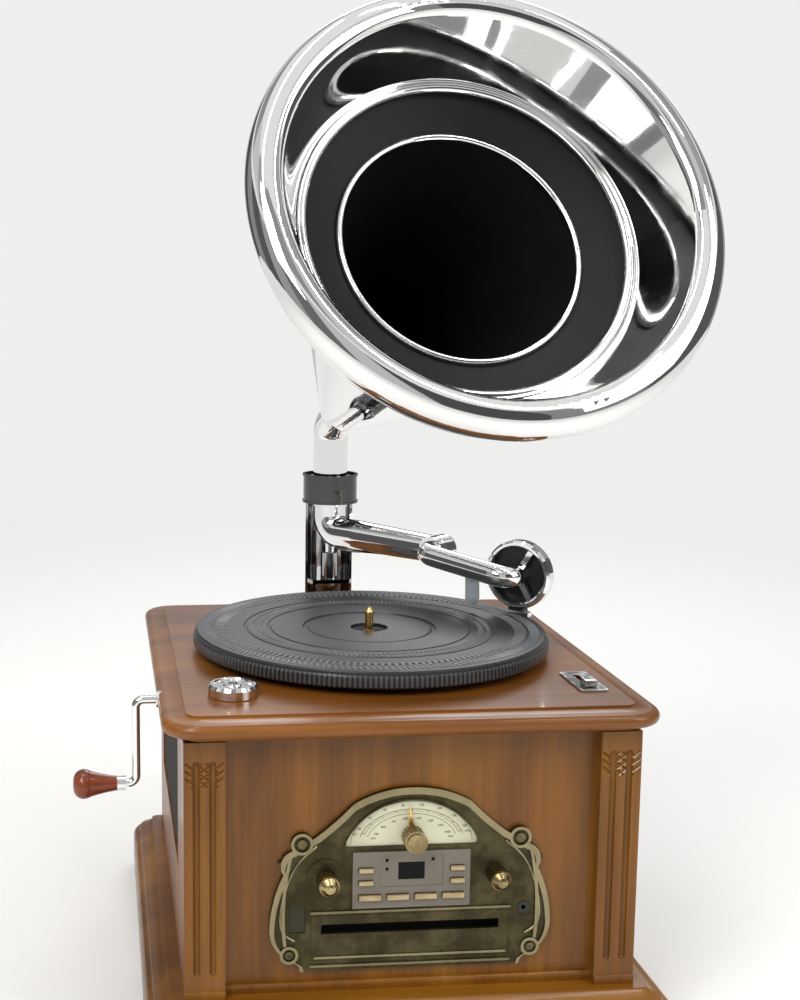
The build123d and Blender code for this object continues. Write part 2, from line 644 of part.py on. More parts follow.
def build_turntable():
    """Platter, mat, spindle, bearing, belt, adapter and speed selector."""
    web_top = deck_top + platter_top
    hub_low = deck_top + 2.5
    bore_r = shaft_r + 0.02
    center = Pos(platter_x, platter_y, 0)
    profile = [
        (bore_r, web_top), (bore_r, hub_low), (13, hub_low),
        (16, web_top - platter_web), (hub_ring_r - hub_ring_t, web_top - platter_web),
        (hub_ring_r - hub_ring_t, hub_low), (hub_ring_r, hub_low),
        (hub_ring_r, web_top - platter_web),
        (platter_r - platter_wall, web_top - platter_web), (platter_r - platter_wall, platter_low),
        (platter_r - 0.8, platter_low), (platter_r, platter_low + 1.2),
        (platter_r, web_top - 1.5), (platter_r - 1.5, web_top)]
    platter = center * turned(profile, (0, 0, 0), (0, 0, 1))
    add("platter", platter)
    ridge = 0.7
    mat_profile = [(recess_r, web_top), (recess_r, mat_top - ridge), (label_r - 1.5, mat_top - ridge),
                   (label_r, mat_top - ridge - 0.8), (label_r + 2.5, mat_top - ridge - 0.8),
                   (label_r + 3.5, mat_top)]
    for radius in (84.0, 104.0, 124.0):
        mat_profile += [(radius, mat_top), (radius + 0.6, mat_top - ridge),
                        (radius + 2.4, mat_top - ridge), (radius + 3.0, mat_top)]
    mat_profile += [(mat_r - 1.2, mat_top), (mat_r, mat_top - 1.2), (mat_r, web_top)]
    mat = center * turned(mat_profile, (0, 0, 0), (0, 0, 1))
    add("platter_mat", mat)
    spindle_top = mat_top + spindle_up
    sleeve_low = body_top - bearing_l + 18
    pin = [(0, sleeve_low + 4), (shaft_r, sleeve_low + 4), (shaft_r, web_top), (spindle_r, web_top),
           (spindle_r, spindle_top - 4), (spindle_r * 0.55, spindle_top - 1), (0, spindle_top)]
    add("spindle", center * turned(pin, (0, 0, 0), (0, 0, 1)))
    sleeve = disc(bearing_r, sleeve_low, deck_top, platter_x, platter_y)
    sleeve += disc(24.0, body_top - 4, body_top, platter_x, platter_y)
    sleeve -= disc(shaft_r + run_clear, sleeve_low + 4, deck_top + 1, platter_x, platter_y)
    add("spindle_bearing", sleeve)

    pulley_x, pulley_y = pulley_place()
    belt_low = deck_top + 4.0
    gap = slide_gap

    def loop(extra):
        big = hub_ring_r + extra
        small = pulley_r + extra
        reach = hypot(pulley_x - platter_x, pulley_y - platter_y)
        lean = asin((big - small) / reach)
        turn = atan2(pulley_y - platter_y, pulley_x - platter_x)
        ends = []
        for side in (1, -1):
            normal = turn + side * (pi / 2 - lean)
            ends.append(((platter_x + big * cos(normal), platter_y + big * sin(normal)),
                         (pulley_x + small * cos(normal), pulley_y + small * sin(normal))))
        far = (platter_x - big * cos(turn), platter_y - big * sin(turn))
        near = (pulley_x + small * cos(turn), pulley_y + small * sin(turn))
        with BuildSketch() as sketch:
            with BuildLine():
                Line(ends[0][0], ends[0][1])
                ThreePointArc(ends[0][1], near, ends[1][1])
                Line(ends[1][1], ends[1][0])
                ThreePointArc(ends[1][0], far, ends[0][0])
            make_face()
        return sketch.sketch

    belt = extrude(loop(gap + belt_t) - loop(gap), belt_h)
    add("drive_belt", Pos(0, 0, belt_low) * belt)

    center = Pos(adapter_x, adapter_y, deck_top)
    post = Pos(0, 0, 3) * Cylinder(adapter_bore - run_clear, 6.0) + Pos(0, 0, -6) * Cylinder(3.0, 12)
    adapter_pin = center * post
    disc_profile = [(adapter_bore, 0.0), (adapter_r - 0.8, 0), (adapter_r, 0.8),
                    (adapter_r, adapter_h - 2.4), (adapter_r - 1.6, adapter_h),
                    (adapter_r - 3.6, adapter_h), (adapter_r - 4.2, adapter_h - 1.2),
                    (adapter_bore + 4.2, adapter_h - 1.2), (adapter_bore + 3.4, adapter_h),
                    (adapter_bore, adapter_h)]
    adapter = turned(disc_profile, (0, 0, 0), (0, 0, 1))
    for place in PolarLocations((adapter_r + adapter_bore) / 2, 3):
        arm = Box(adapter_r - adapter_bore - 5, 3.6, 1.2, align=(Align.CENTER, Align.CENTER, Align.MAX))
        adapter += place * Pos(0, 0, adapter_h) * arm
    add("adapter_45", center * adapter)

    low = deck_top
    high = deck_top + speed_t
    frame = Pos(speed_x, speed_y, low) * extrude(RectangleRounded(speed_w, speed_l, 2.0), speed_t)
    frame -= box(speed_x - 2.2, speed_x + 2.2, speed_y - 19, speed_y + 19, low - 1, high + 1)
    frame -= box(speed_x - speed_w / 2 + 2.4, speed_x + speed_w / 2 - 2.4, speed_y - speed_l / 2 + 2.4,
                 speed_y + speed_l / 2 - 2.4, high - 0.5, high + 1)
    knob_y = speed_y - speed_step
    knob = box(speed_x - 1.9, speed_x + 1.9, knob_y - 4, knob_y + 4, body_top + 4, high + 1)
    cap = box(speed_x - 5, speed_x + 5, knob_y - 5.5, knob_y + 5.5, high - 0.2, high + 5.5)
    cap = fillet(cap.edges().group_by(Axis.Z)[-1], 1.2)
    add("speed_knob", knob + cap)
    switch = box(speed_x - 9, speed_x + 9, speed_y - 24, speed_y + 24, body_top - 12, body_top)
    switch -= box(speed_x - 2.2, speed_x + 2.2, speed_y - 19, speed_y + 19, body_top - 9, body_top + 1)
    add("speed_plate", frame, switch)

    rest = disc(4.2, deck_top, deck_top + 9, rest_x, rest_y)
    rest += disc(3.0, body_top + 5, deck_top + 1, rest_x, rest_y)
    cradle = Pos(rest_x, rest_y, deck_top + 9) * Rot(0, 0, -40) * Box(22, 9, 4.0, align=stand)
    add("deck_posts", adapter_pin, rest + cradle)


def build_bracket():
    """The rear bracket: a curved chrome channel that carries the collar, with its pivot block."""
    wall_y = body_d / 2
    outer_y = pivot_y + bracket_r
    axis = Pos(0, pivot_y, 0)
    trough = axis * (disc(bracket_r, bracket_low, collar_z)
                     - disc(bracket_r - bracket_t, bracket_low - 1, collar_z + 1))
    trough -= box(-60, 60, pivot_y - 60, pivot_y + 5, bracket_low - 1, collar_z + 1)
    shelf_low = deck_top + 14
    shelf = axis * disc(bracket_r - bracket_t + 0.5, shelf_low, shelf_low + 4)
    shelf -= box(-60, 60, pivot_y - 60, pivot_y - 12, shelf_low - 1, shelf_low + 5)
    floor = axis * disc(bracket_r - bracket_t + 0.5, bracket_low, bracket_low + 4)
    block_high = arm_z - 20
    block = axis * disc(8.5, shelf_low + 3, block_high)
    block -= axis * disc(5.0 + run_clear, shelf_low + 7, block_high + 1)
    spacer = box(-18, 18, wall_y, outer_y - bracket_t + 0.3, bracket_low + 3, bracket_low + 44)
    spacer &= box(-60, 60, wall_y, pivot_y + 8, bracket_low, bracket_low + 60) + axis * disc(
        bracket_r - bracket_t + 0.3, bracket_low, bracket_low + 60)
    bracket = trough + shelf + floor + block + spacer
    screws = []
    for z in (bracket_low + 14, bracket_low + 34):
        bracket -= rod_y(2.55, wall_y - 1, outer_y + 1, 0, z)
        nodes["back_panel"] -= rod_y(2.55, wall_y - board_t - 1, wall_y + 1, 0, z)
        screws.append(rod_y(2.5, wall_y - board_t + 1, outer_y, 0, z)
                      + rod_y(5.0, outer_y, outer_y + 3.0, 0, z))
    add("horn_bracket", bracket)

    ring = axis * (disc(collar_r, collar_z, collar_z + collar_h)
                   - disc(collar_r - collar_wall, collar_z - 1, collar_z + collar_h + 1))
    for z in (collar_z + 1.0, collar_z + collar_h - 1.0):
        ring += axis * Pos(0, 0, z) * (Cylinder(collar_r + 1.0, 2.0) - Cylinder(collar_r - 0.5, 4.0))
    add("collar", ring)
    bush = axis * (disc(collar_r - collar_wall, collar_z, collar_z + collar_h - 4)
                   - disc(tube_r + run_clear, collar_z - 1, collar_z + collar_h))
    add("collar_bush", bush)
    screws.append(rod_y(2.0, pivot_y - collar_r - 1.6, pivot_y - collar_r + 0.3, 3.0,
                        collar_z + collar_h / 2 - 2))
    nodes["collar"] -= rod_y(2.05, pivot_y - collar_r - 2, pivot_y - collar_r + 0.35, 3.0,
                             collar_z + collar_h / 2 - 2)
    add("fasteners", nodes.pop("plate_screws"), *screws)


def arm_frame():
    """Directions of the resting tonearm: along the arm, and along its knuckle."""
    turn = radians(arm_azimuth)
    along = Vector(sin(turn), -cos(turn), 0)
    across = Vector(-cos(turn), -sin(turn), 0)
    return along, across


def build_tonearm():
    """Elbow and tapered tube, knuckle, swan-neck, sound box wheel, cartridge and rest."""
    along, across = arm_frame()
    pivot = Vector(0, pivot_y, arm_z)
    top = Vector(0, pivot_y, collar_z + 11)
    far = pivot + along * 40
    elbow = bent_tube([top, pivot, far], elbow_bend, arm_r, arm_r - tube_wall)
    sleeve = Pos(0, pivot_y, 0) * (disc(tube_r, collar_z - 4, collar_z + 11)
                                   - disc(arm_r - 0.05, collar_z - 5, collar_z + 12))
    stub = Pos(0, pivot_y, 0) * disc(5.0, deck_top + 21.5, arm_z - arm_r + 6)
    run = arm_knuckle - 40 - 8
    taper_start = Plane(origin=far, z_dir=along)
    outer = taper_start * Cone(arm_r, arm_tip_r, run, align=stand)
    inner = taper_start * Cone(arm_r - tube_wall, arm_tip_r - tube_wall, run,
                               align=stand)
    knuckle = pivot + along * arm_knuckle
    barrel = Plane(origin=knuckle - across * (19 - knuckle_face), z_dir=across) * Cylinder(
        knuckle_r, 19, align=stand)
    barrel = fillet(barrel.edges().filter_by(GeomType.CIRCLE).sort_by(lambda e: e.center().dot(across))[0], 5)
    pin_hole = Plane(origin=knuckle - across * 4, z_dir=across) * Cylinder(
        5.0, 20, align=stand)
    ring_seat = Plane(origin=knuckle + across * knuckle_face, z_dir=across) * Cylinder(
        knuckle_r + slide_gap, 20, align=stand)
    add("tonearm_tube", elbow + sleeve + (outer - inner - ring_seat) + (barrel - pin_hole) + stub)

    ring_start = knuckle_face + slide_gap
    ring = Plane(origin=knuckle + across * ring_start, z_dir=across) * Cylinder(
        knuckle_r - 0.4, 6, align=stand)
    pin = Plane(origin=knuckle - across * 3, z_dir=across) * Cylinder(
        5.0 - run_clear, ring_start + 5, align=stand)
    wheel_center = pivot + along * (arm_knuckle + wheel_reach) - Vector(0, 0, wheel_drop)
    facing_turn = radians(wheel_turn)
    facing = Vector(-sin(facing_turn), -cos(facing_turn), 0)
    start = knuckle + across * (ring_start + 4)
    bend_a = knuckle + across * goose_offset
    bend_b = wheel_center + facing * goose_offset
    end = wheel_center + facing * (wheel_depth / 2 + 3)
    neck = bent_tube([start, bend_a, bend_b, end], goose_bend, goose_r, 0)
    add("swan_neck", neck + ring + pin)

    wheel_plane = Plane(origin=wheel_center - facing * (wheel_depth / 2), x_dir=(0, 0, 1), z_dir=facing)
    rim_profile = [(wheel_r - wheel_rim, 3.0), (wheel_r - wheel_rim, wheel_depth - 1.0),
                   (wheel_r - wheel_rim + 1.4, wheel_depth), (wheel_r - 2.0, wheel_depth),
                   (wheel_r, wheel_depth - 2.4), (wheel_r, 0), (wheel_r - wheel_rim, 0)]
    rim = wheel_plane * turned(rim_profile, (0, 0, 0), (0, 0, 1))
    low_align = (Align.CENTER, Align.CENTER, Align.MIN)
    hub = wheel_plane * Cylinder(hub_r, wheel_depth + 2.8, align=low_align)
    back_disc = wheel_plane * (Cylinder(wheel_r - wheel_rim - 0.02, 2.4, align=low_align)
                               - Cylinder(hub_r + 0.02, 9, align=low_align))
    wheel = rim + hub
    for turn in (90, 210, 330):
        spoke = Box(wheel_r - 3, spoke_w, 4.0, align=(Align.MIN, Align.CENTER, Align.MIN))
        wheel += wheel_plane * (Rot(0, 0, turn) * Pos(0, 0, wheel_depth - 5) * spoke)
    add("sound_box", wheel)
    add("sound_box_back", back_disc)
    cart_low = wheel_center.Z - wheel_r - 2.0
    body = Plane(origin=(wheel_center.X, wheel_center.Y, cart_low), x_dir=along, z_dir=(0, 0, 1)) * Box(
        15, 8, 6.0, align=stand)
    body -= wheel_plane * Pos(0, 0, -20) * Cylinder(wheel_r + 0.05, 60, align=low_align)
    needle = Plane(origin=(wheel_center.X + along.X * 5, wheel_center.Y + along.Y * 5, cart_low - 1.6),
                   z_dir=(0, 0, 1)) * Cone(0.4, 1.2, 1.8, align=low_align)
    add("cartridge", body + needle)

    guard_at = bend_a + (bend_b - bend_a) * guard_place
    guard_low = deck_top + platter_top + guard_up
    guard_plane = Plane(origin=(guard_at.X, guard_at.Y, guard_low), x_dir=along, z_dir=across)
    with BuildSketch() as leaf:
        with BuildLine():
            Polyline((-6.5, guard_h), (7.5, guard_h), (8.5, 8), (3.0, 0), (-6.0, 4), (-6.5, guard_h))
        make_face()
    blade = extrude(guard_plane * leaf.sketch, guard_t / 2, both=True)
    neck_room = Plane(origin=bend_a, z_dir=(bend_b - bend_a).normalized()) * Cylinder(
        goose_r + 0.02, (bend_b - bend_a).length, align=stand)
    add("stylus_guard", blade - neck_room)


def horn_frame():
    """The horn's axis: where it starts above the collar, and its direction."""
    start = Vector(0, pivot_y, neck_top)
    target = Vector(horn_turn_x, horn_turn_y, horn_turn_z)
    return start, (target - start).normalized()


def revolve_about_horn(face_sketch):
    """Turn a sketch drawn as (radius, distance) about the horn's axis."""
    start, direction = horn_frame()
    radial = Vector(1, 0, 0) - direction * direction.X
    radial = radial.normalized()
    side = Plane(origin=start, x_dir=radial, z_dir=radial.cross(direction))
    return revolve(side * face_sketch, Axis(start, direction))


def build_horn():
    """Neck elbow, spun cone, rolled flare, its beads and the black liner."""
    start, direction = horn_frame()
    foot = Vector(0, pivot_y, collar_z + 14)
    tip = start + direction * (cone_start + 12)
    neck = bent_tube([foot, start, tip], neck_bend, tube_r, tube_r - tube_wall)
    shoulder_low = collar_z + collar_h - 4 + panel_gap
    shoulder = Pos(0, pivot_y, 0) * (disc(tube_r + 3.0, shoulder_low, shoulder_low + 2.4)
                                     - disc(tube_r - 0.5, shoulder_low - 1, shoulder_low + 4))
    add("horn_neck", neck + shoulder)

    slope = atan2(ring_r - tube_r, ring_s - cone_start)
    wall = horn_wall / cos(slope)
    with BuildSketch() as cone:
        with BuildLine():
            Polyline((tube_r, cone_start), (ring_r, ring_s), (ring_r + wall, ring_s),
                     (tube_r + wall, cone_start), (tube_r, cone_start))
        make_face()
    add("horn_cone", revolve_about_horn(cone.sketch))

    lean = radians(flare_slope)
    crest = Vector(ring_r + flare_run * sin(lean), ring_s + flare_run * cos(lean))
    first = Vector(crest.X + crest_r * cos(lean), crest.Y - crest_r * sin(lean))
    second = Vector(first.X, crest.Y - crest_r * sin(lean) + crest_r)
    roll_center = Vector(second.X, second.Y - roll_r)
    end_turn = radians(-roll_end)

    def around(center, radius, turn):
        return center.X + radius * cos(turn), center.Y + radius * sin(turn)

    profile = []
    for grow in (0.0, -horn_wall):
        inner = crest_r + grow
        outer = roll_r + grow
        begin = pi - lean
        foot_point = (ring_r - grow / cos(lean), ring_s)
        profile.append((foot_point, around(first, inner, begin),
                        around(first, inner, (begin + pi / 2) / 2), (first.X, first.Y + inner),
                        around(roll_center, outer, (pi / 2 + end_turn) / 2),
                        around(roll_center, outer, end_turn)))
    (a0, a1, a2, a3, a4, a5), (b0, b1, b2, b3, b4, b5) = profile
    with BuildSketch() as flare:
        with BuildLine():
            Line(a0, a1)
            ThreePointArc(a1, a2, a3)
            ThreePointArc(a3, a4, a5)
            Line(a5, b5)
            ThreePointArc(b5, b4, b3)
            ThreePointArc(b3, b2, b1)
            Line(b1, b0)
            Line(b0, a0)
        make_face()
    edge = around(roll_center, roll_r - horn_wall / 2, end_turn)
    add("horn_flare", revolve_about_horn(flare.sketch) + revolve_about_horn(Pos(*edge) * Circle(2.0)))

    bead_s = ring_s - 1.5
    bead_at = tube_r + (bead_s - cone_start) * tan(slope) - (bead_r + skin_gap) / cos(slope)
    outer_ring = revolve_about_horn(Pos(bead_at, bead_s) * Circle(bead_r))
    step_s = ring_s - inner_ring_back
    skin = 1.4
    brim_s = ring_s - 7.0
    brim_r = tube_r + (brim_s - cone_start) * tan(slope) - 0.05
    with BuildSketch() as liner:
        with BuildLine():
            Polyline((brim_r, brim_s), (inner_ring_r, step_s), (throat_r, throat_end),
                     (throat_r - skin, throat_end), (inner_ring_r - skin, step_s + skin),
                     (brim_r, brim_s + skin), (brim_r, brim_s))
        make_face()
    add("horn_liner", revolve_about_horn(liner.sketch))
    inner_ring = revolve_about_horn(Pos(inner_ring_r - skin - inner_bead_r, step_s + skin + 1.0)
                                    * Circle(inner_bead_r))
    add("horn_rings", outer_ring, inner_ring)


def build_crank():
    """The side crank: bush, bent rod, ferrule and turned wooden grip."""
    side = -deck_w / 2
    z = body_top + crank_up
    bush = rod_x(6.4, side - 0.6, side + 14.0, crank_y, z)
    bush -= rod_x(crank_rod_r + run_clear, side - 3, side + 16, crank_y, z)
    add("crank_bush", bush)
    nodes["top_plate"] -= rod_x(6.4 + 0.02, side - 3, side + 14.0, crank_y, z)
    nodes["top_plate"] -= rod_x(crank_rod_r + 0.5, side + 13, side + 27.0, crank_y, z)
    turn_x = side - crank_out
    low_z = z - crank_drop
    rod = bent_tube([(side + 26, crank_y, z), (turn_x, crank_y, z), (turn_x, crank_y, low_z),
                     (turn_x - crank_bend - 1.5, crank_y, low_z)], crank_bend, crank_rod_r, 0)
    seat_x = turn_x - crank_bend - 1.5
    rod += rod_x(grip_pin_r, seat_x - ferrule_l - grip_l + 1.0, seat_x + 0.5, crank_y, low_z)
    add("crank_rod", rod)
    start_x = seat_x - slide_gap
    ferrule = rod_x(ferrule_r, start_x - ferrule_l, start_x, crank_y, low_z)
    ferrule -= rod_x(grip_pin_r + run_clear, start_x - ferrule_l - 1, start_x + 1, crank_y, low_z)
    add("grip_ferrule", ferrule)
    bore = grip_pin_r + run_clear
    with BuildSketch() as pear:
        with BuildLine():
            Line((bore, 0), (ferrule_r, 0))
            ThreePointArc((ferrule_r, 0), (ferrule_r + 1.6, grip_l * 0.28), (grip_r - 0.8, grip_l * 0.62))
            ThreePointArc((grip_r - 0.8, grip_l * 0.62), (grip_r - 2.0, grip_l * 0.93), (bore, grip_l))
            Line((bore, grip_l), (bore, 0))
        make_face()
    start = (start_x - ferrule_l, crank_y, low_z)
    plane = Plane(origin=start, x_dir=(0, 0, 1), z_dir=(0, -1, 0))
    add("crank_grip", revolve(plane * pear.sketch, Axis(start, (-1, 0, 0))))


def build_all():
    """Build every node in order."""
    build_cabinet()
    build_front()
    build_inside()
    build_turntable()
    build_bracket()
    build_tonearm()
    build_horn()
    build_crank()


build_all()
os.makedirs("parts", exist_ok=True)
for node_name, node_shape in nodes.items():
    export_step(node_shape, "parts/" + node_name + ".step")
print(len(nodes), "nodes written")
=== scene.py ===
# %% [markdown]
# # Dressing a horn gramophone
# The solid model already holds every panel, knob, tube and wheel at its true size. Blender's job is the look:
# varnish and grain, antiqued brass, chrome, printed dial, rubber relief. Nothing here moves or resizes a solid,
# so the first step loads that model as a fixed frame, with a helper that measures a part's extent.

# %% Load the imported model
import math
import bmesh
import bpy
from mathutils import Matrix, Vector


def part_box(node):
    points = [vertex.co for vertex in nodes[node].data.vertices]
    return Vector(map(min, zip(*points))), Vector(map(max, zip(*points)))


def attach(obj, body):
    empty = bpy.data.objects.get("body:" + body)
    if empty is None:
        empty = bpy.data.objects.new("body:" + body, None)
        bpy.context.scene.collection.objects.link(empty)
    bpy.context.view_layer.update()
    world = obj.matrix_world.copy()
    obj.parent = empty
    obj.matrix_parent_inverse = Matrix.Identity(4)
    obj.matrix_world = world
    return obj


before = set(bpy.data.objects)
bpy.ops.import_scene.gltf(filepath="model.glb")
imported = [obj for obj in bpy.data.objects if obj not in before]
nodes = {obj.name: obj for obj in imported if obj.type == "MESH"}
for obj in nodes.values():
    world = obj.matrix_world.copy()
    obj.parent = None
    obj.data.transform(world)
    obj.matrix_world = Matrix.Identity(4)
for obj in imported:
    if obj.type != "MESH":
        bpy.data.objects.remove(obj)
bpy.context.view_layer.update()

# %% [markdown]
# ## The camera
# The photograph was taken from a little above the deck, and its frame is the right-hand part of a wider picture.
# That could be copied with a large sideways lens shift alone, but a shift stays when the camera goes round the
# object. So part of it is a turn of the camera to the right, and only the rest is shift.

# %% Place the camera
PICTURE_FOCUS = 51.8
EYE = Vector((-0.227, -1.182, 0.569))
TILT_DOWN = 8.2
TURN_RIGHT = 5.0
SIDE_SHIFT = 0.175
UP_SHIFT = -0.005
camera_data = bpy.data.cameras.new("view_camera")
camera_data.lens = PICTURE_FOCUS
camera_data.sensor_width = 36.0
camera_data.shift_x = SIDE_SHIFT
camera_data.shift_y = UP_SHIFT
camera = bpy.data.objects.new("view_camera", camera_data)
camera.location = EYE
camera.rotation_euler = (math.radians(90.0 - TILT_DOWN), 0.0, math.radians(-TURN_RIGHT))
bpy.context.scene.collection.objects.link(camera)
bpy.context.scene.camera = camera
bpy.context.scene.view_settings.view_transform = "Standard"
print("camera at", tuple(round(v, 3) for v in camera.location))

# %% [markdown]
# ## A small language for shader maths
# A material is a graph of nodes, and a graph built call by call is hard to read. A thin class that wraps one
# output socket lets the maths be written as ordinary expressions: adding two of them adds a Math node. Colours
# go through Mix nodes instead, because a Math node would turn them grey.

# %% A socket that understands + - * and powers
class Value:
    """One output socket of a material, with arithmetic that adds Math nodes."""

    def __init__(self, finish, socket):
        self.finish = finish
        self.socket = socket

    def math(self, operation, *others, clamp=False):
        return self.finish.node("Math", {"operation": operation, "use_clamp": clamp},
                                dict(enumerate((self,) + others)))

    def __add__(self, other):
        return self.math("ADD", other)

    def __sub__(self, other):
        return self.math("SUBTRACT", other)

    def __rsub__(self, other):
        return self.finish.node("Math", {"operation": "SUBTRACT"}, {0: other, 1: self})

    def __mul__(self, other):
        return self.math("MULTIPLY", other)

    def __pow__(self, other):
        return self.math("POWER", other)

    def above(self, edge, soft):
        """0 below the edge and 1 above it, with a soft step."""
        return self.finish.node("MapRange", {"interpolation_type": "SMOOTHSTEP"},
                                {0: self, 1: edge - soft, 2: edge + soft})

    def below(self, edge, soft):
        return 1 - self.above(edge, soft)


# %% [markdown]
# ## One way to make every node
# All nodes of a material come from one method. It takes the node's type, its settings, and what goes into its
# sockets, where a value may be a number, a colour or another node's output. Settings come first, because some
# of them change which sockets a node has.

# %% A material builder
class Finish:
    """A procedural material under construction."""

    def __init__(self, name):
        self.material = bpy.data.materials.new(name)
        self.material.use_nodes = True
        self.tree = self.material.node_tree
        self.tree.nodes.clear()

    def node(self, kind, settings=None, inputs=None, output=0):
        made = self.tree.nodes.new("ShaderNode" + kind)
        for key, setting in (settings or {}).items():
            if key == "stops":
                ramp = made.color_ramp
                while len(ramp.elements) < len(setting):
                    ramp.elements.new(0.5)
                for element, (place, colour) in zip(ramp.elements, setting):
                    element.position = place
                    element.color = (*colour, 1.0)
            else:
                setattr(made, key, setting)
        for key, entry in (inputs or {}).items():
            socket = made.inputs[key]
            if isinstance(entry, Value):
                self.tree.links.new(entry.socket, socket)
            else:
                socket.default_value = entry
        return Value(self, made.outputs[output]) if made.outputs else None

    def place(self):
        return self.node("TexCoord", output="Object")

    def stretched(self, scale):
        return self.node("Mapping", {}, {"Vector": self.place(), "Scale": scale})

    def axis(self, letter):
        return self.node("SeparateXYZ", {}, {0: self.place()}, output=letter)

    def noise(self, vector, scale, detail=3.0, roughness=0.5, distortion=0.0):
        return self.node("TexNoise", {}, {"Vector": vector, "Scale": scale, "Detail": detail,
                                          "Roughness": roughness, "Distortion": distortion}, output=0)

    def ramp(self, value, *stops):
        return self.node("ValToRGB", {"stops": stops}, {0: value})

    def mix(self, factor, first, second, way="MIX"):
        blend = self.node("Mix", {"data_type": "RGBA", "blend_type": way}, {"Factor": factor}, output=2)
        sockets = blend.socket.node.inputs
        for socket, entry in ((sockets[6], first), (sockets[7], second)):
            if isinstance(entry, Value):
                self.tree.links.new(entry.socket, socket)
            else:
                socket.default_value = (*entry, 1.0)
        return blend

    def bump(self, height, strength, distance):
        return self.node("Bump", {}, {"Height": height, "Strength": strength, "Distance": distance})

    def surface(self, **inputs):
        """The Principled shader: each keyword names a socket, with _ for a space."""
        named = {key.replace("_", " "): entry for key, entry in inputs.items()}
        colour = named.get("Base Color")
        if isinstance(colour, tuple):
            named["Base Color"] = (*colour, 1.0)
        shader = self.node("BsdfPrincipled", {}, named)
        self.node("OutputMaterial", {}, {"Surface": shader})
        return self.material


# %% [markdown]
# ## Varnished wood
# The cabinet is a pale softwood stained amber and sealed under gloss varnish. Its figure is long in the grain's
# direction and narrow across it, so a noise is squeezed across the board and pulled out along it; its own
# distortion bends it into flame shapes. A finer noise adds rings, a broad one clouds the tone, and a fine one
# draws the pores.

# %% Wood
WOOD_DARK = (0.088, 0.029, 0.0018)
WOOD_MID = (0.172, 0.061, 0.0034)
WOOD_LIGHT = (0.255, 0.102, 0.0065)


def wood(name, along, dark=WOOD_DARK, middle=WOOD_MID, light=WOOD_LIGHT, gloss=0.28):
    """Stained wood whose grain runs along X, Y or Z."""
    finish = Finish(name)
    long_scale, cross_scale = 1.1, 11.0
    scale = tuple(long_scale if letter == along else cross_scale for letter in "XYZ")
    fine_scale = tuple(6.0 if letter == along else 260.0 for letter in "XYZ")
    figure = finish.noise(finish.stretched(scale), 1.6, 3.0, 0.48, 0.8)
    rings = finish.noise(finish.stretched(tuple(3.2 * s for s in scale)), 1.0, 5.0, 0.62, 0.6)
    pores = finish.noise(finish.stretched(fine_scale), 1.0, 2.0, 0.5)
    cloud = finish.noise(finish.place(), 5.0, 2.0)
    tone = figure * 0.58 + rings * 0.30 + cloud * 0.12
    stain = finish.ramp(tone, (0.34, dark), (0.50, middle), (0.66, light))
    shade = pores.above(0.47, 0.14) * 0.18 + 0.82
    grey = finish.node("CombineColor", {}, {0: shade, 1: shade, 2: shade})
    colour = finish.mix(1.0, stain, grey, "MULTIPLY")
    wear = finish.noise(finish.place(), 60.0, 3.0)
    grain = finish.bump(pores, 0.08, 0.0006)
    return finish.surface(Base_Color=colour, Roughness=wear * 0.10 + gloss, Normal=grain,
                          Coat_Weight=0.16, Coat_Roughness=0.09, IOR=1.38)


front_wood = wood("front_wood", "Z")
side_wood = wood("side_wood", "Z", middle=(0.185, 0.056, 0.008), gloss=0.36)
# The deck wears the same varnished wood with its stain set lighter and paler: a painted sheen of its lit,
# reflecting top.
deck_wood = wood("deck_wood", "X", dark=(0.11, 0.034, 0.005), middle=(0.205, 0.070, 0.0095),
                 light=(0.30, 0.112, 0.018))
plinth_wood = wood("plinth_wood", "X")
grip_wood = wood("grip_wood", "X", dark=(0.09, 0.014, 0.006), middle=(0.21, 0.045, 0.018),
                 light=(0.34, 0.10, 0.04), gloss=0.18)

# %% [markdown]
# ## Metals
# Chrome is almost a mirror, so its look comes from what it reflects; a trace of smudging in the roughness keeps
# it from looking computed. The front plate is cast and antiqued: dark olive-brown in the hollows, bright where
# hands and polish reach the raised rims. The solid's own depth tells the two apart, so the mask is simply how
# far forward a point of the surface lies.

# %% Chrome and brass
def chrome(name, tone, rough):
    finish = Finish(name)
    smudge = finish.noise(finish.place(), 38.0, 4.0, 0.6)
    streak = finish.noise(finish.stretched((6.0, 6.0, 60.0)), 9.0, 2.0)
    dull = tone * 0.9
    colour = finish.mix(streak * 0.5, (tone, tone * 0.995, tone * 0.985), (dull, dull, dull))
    smear = smudge.above(0.55, 0.2) * rough
    return finish.surface(Base_Color=colour, Metallic=1.0, Roughness=smear + rough * 0.55)


def brass(name, bright, dull, rough, patches=34.0):
    finish = Finish(name)
    stain = finish.noise(finish.place(), patches, 5.0, 0.65)
    fine = finish.noise(finish.place(), patches * 9.0, 3.0, 0.6)
    colour = finish.mix(stain.above(0.52, 0.16), bright, dull)
    return finish.surface(Base_Color=colour, Metallic=1.0, Roughness=fine * 0.16 + rough,
                          Normal=finish.bump(fine, 0.10, 0.0004))


def cast_plate(name, hollow, rim, edge, soft):
    """Antiqued casting: bright in front of the plane y = edge, dark behind it."""
    finish = Finish(name)
    blotch = finish.noise(finish.place(), 42.0, 6.0, 0.68)
    grit = finish.noise(finish.place(), 420.0, 3.0, 0.6)
    raised = finish.axis("Y").below(edge, soft)
    rubbed = raised * (blotch.above(0.40, 0.22) * 0.35 + 0.65)
    patina = finish.mix(blotch.above(0.52, 0.14), hollow, tuple(2.1 * c for c in hollow))
    colour = finish.mix(rubbed, patina, rim)
    return finish.surface(Base_Color=colour, Metallic=1.0, Roughness=0.46 - rubbed * 0.22 + grit * 0.08,
                          Normal=finish.bump(grit, 0.25, 0.0005))


